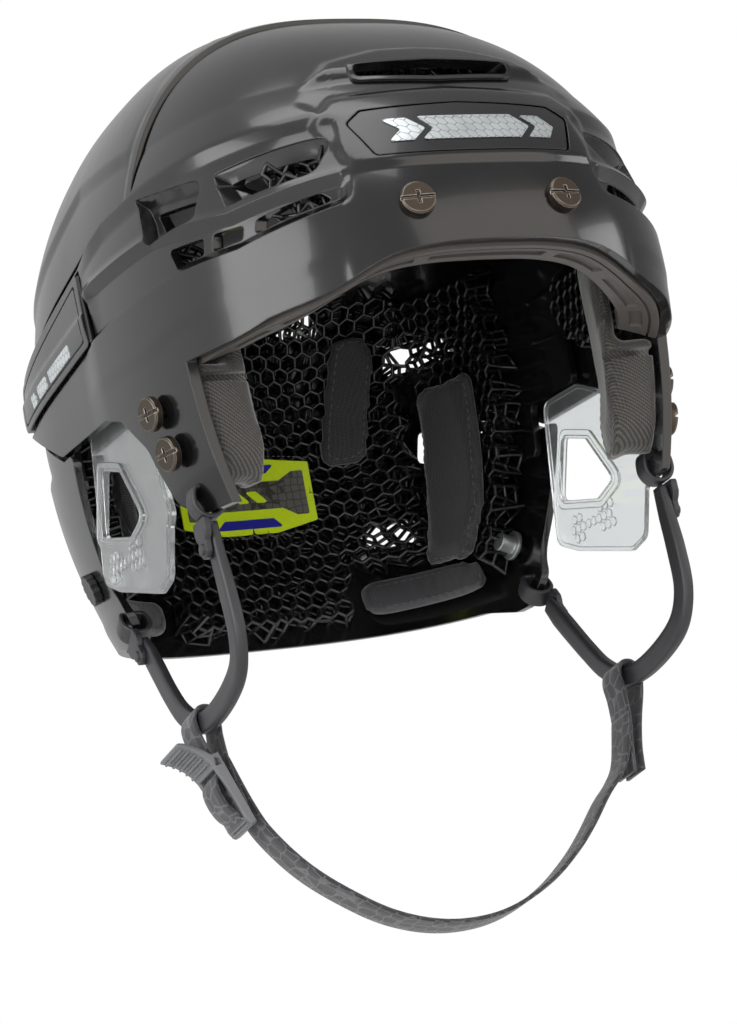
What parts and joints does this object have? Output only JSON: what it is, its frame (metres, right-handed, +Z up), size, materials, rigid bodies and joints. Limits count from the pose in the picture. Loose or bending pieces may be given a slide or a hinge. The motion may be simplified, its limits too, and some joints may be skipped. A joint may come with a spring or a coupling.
{
  "type": "ice hockey helmet",
  "caption": "Two-shell ice hockey helmet with a sliding size adjustment, side latch plates, clear ear guards, lattice liner and a buckled chin strap on forked side straps.",
  "frame": {"origin": "on the centre line at brow level inside the head cavity, where the head mount sits", "axes": "+X to the wearer's left, -Y to the front, +Z up, level as it is worn"},
  "size_m": [0.2126, 0.2833, 0.3501],
  "materials": {
    "shell_black": "moulded satin black with bare light grey edges",
    "badge_silver": "brushed silver film",
    "badge_dark": "dark gloss strip",
    "rack_nylon": "moulded nylon",
    "screw_black": "black oxide",
    "knob_plastic": "moulded",
    "nut_steel": "plated steel",
    "guard_clear": "clear polycarbonate",
    "lattice_black": "printed elastomer lattice",
    "pad_fabric": "ribbed knit over foam",
    "trim_rubber": "moulded edge",
    "patch_film": "printed film",
    "strap_moulded": "moulded elastomer",
    "webbing": "woven polyester with a faint printed pattern",
    "buckle_grey": "moulded acetal"
  },
  "bodies": {
    "front": {"front_shell": "shell_black", "badge_plate": "badge_silver", "badge_inlay": "badge_dark", "latch_pins": "nut_steel", "brow_screws": "screw_black", "temple_screws": "screw_black", "brow_nuts": "nut_steel", "temple_nuts": "nut_steel", "ear_guard_left": "guard_clear", "ear_guard_right": "guard_clear", "brow_trim": "trim_rubber", "forehead_lattice": "lattice_black", "forehead_pad": "pad_fabric", "side_lattice_left": "lattice_black", "side_lattice_right": "lattice_black", "temple_pad_left": "pad_fabric", "temple_pad_right": "pad_fabric", "strap_fork_left": "strap_moulded", "strap_fork_right": "strap_moulded", "front_strap_tabs": "strap_moulded", "webbing_loop_left": "webbing", "webbing_loop_right": "webbing"},
    "rear": {"rear_shell": "shell_black", "size_rack_left": "rack_nylon", "size_rack_right": "rack_nylon", "strap_screws": "knob_plastic", "strap_nuts": "nut_steel", "crown_lattice": "lattice_black", "crown_pad": "pad_fabric", "rear_lattice": "lattice_black", "occipital_pad_left": "pad_fabric", "occipital_pad_right": "pad_fabric", "liner_patch": "patch_film", "rear_side_lattice_left": "lattice_black", "rear_side_lattice_right": "lattice_black", "rear_side_pad_left": "pad_fabric", "rear_side_pad_right": "pad_fabric", "rear_rib_left": "pad_fabric", "rear_rib_right": "pad_fabric", "rear_strap_tabs": "strap_moulded"},
    "latch_left": {"latch_left": "shell_black"},
    "latch_right": {"latch_right": "shell_black"},
    "chin": {"chin_strap": "webbing"},
    "buckle": {"buckle": "buckle_grey", "buckle_webbing": "webbing"}
  },
  "joints": [
    {"name": "size_slide", "type": "slide", "parent": "front", "child": "rear", "axis": [0, 1, 0], "range_m": [0, 0.018], "deforming": ["strap_fork_left", "strap_fork_right"]},
    {"name": "latch_left_hinge", "type": "hinge", "parent": "front", "child": "latch_left", "pos_m": [0.10361, -0.00111, 0.03033], "axis": [0.0666, -0.3541, -0.9328], "range_deg": [0, 60]},
    {"name": "latch_right_hinge", "type": "hinge", "parent": "front", "child": "latch_right", "pos_m": [-0.10361, -0.00111, 0.03033], "axis": [0.0666, 0.3541, 0.9328], "range_deg": [0, 60]},
    {"name": "chin_swing", "type": "hinge", "parent": "front", "child": "chin", "pos_m": [0, -0.00816, -0.12648], "axis": [1, 0, 0], "range_deg": [-25, 25], "deforming": ["webbing_loop_left", "webbing_loop_right"]},
    {"name": "buckle_tilt", "type": "hinge", "parent": "chin", "child": "buckle", "pos_m": [-0.07656, -0.01542, -0.16767], "axis": [0, -0.9848, 0.1736], "range_deg": [0, 25]}
  ]
}
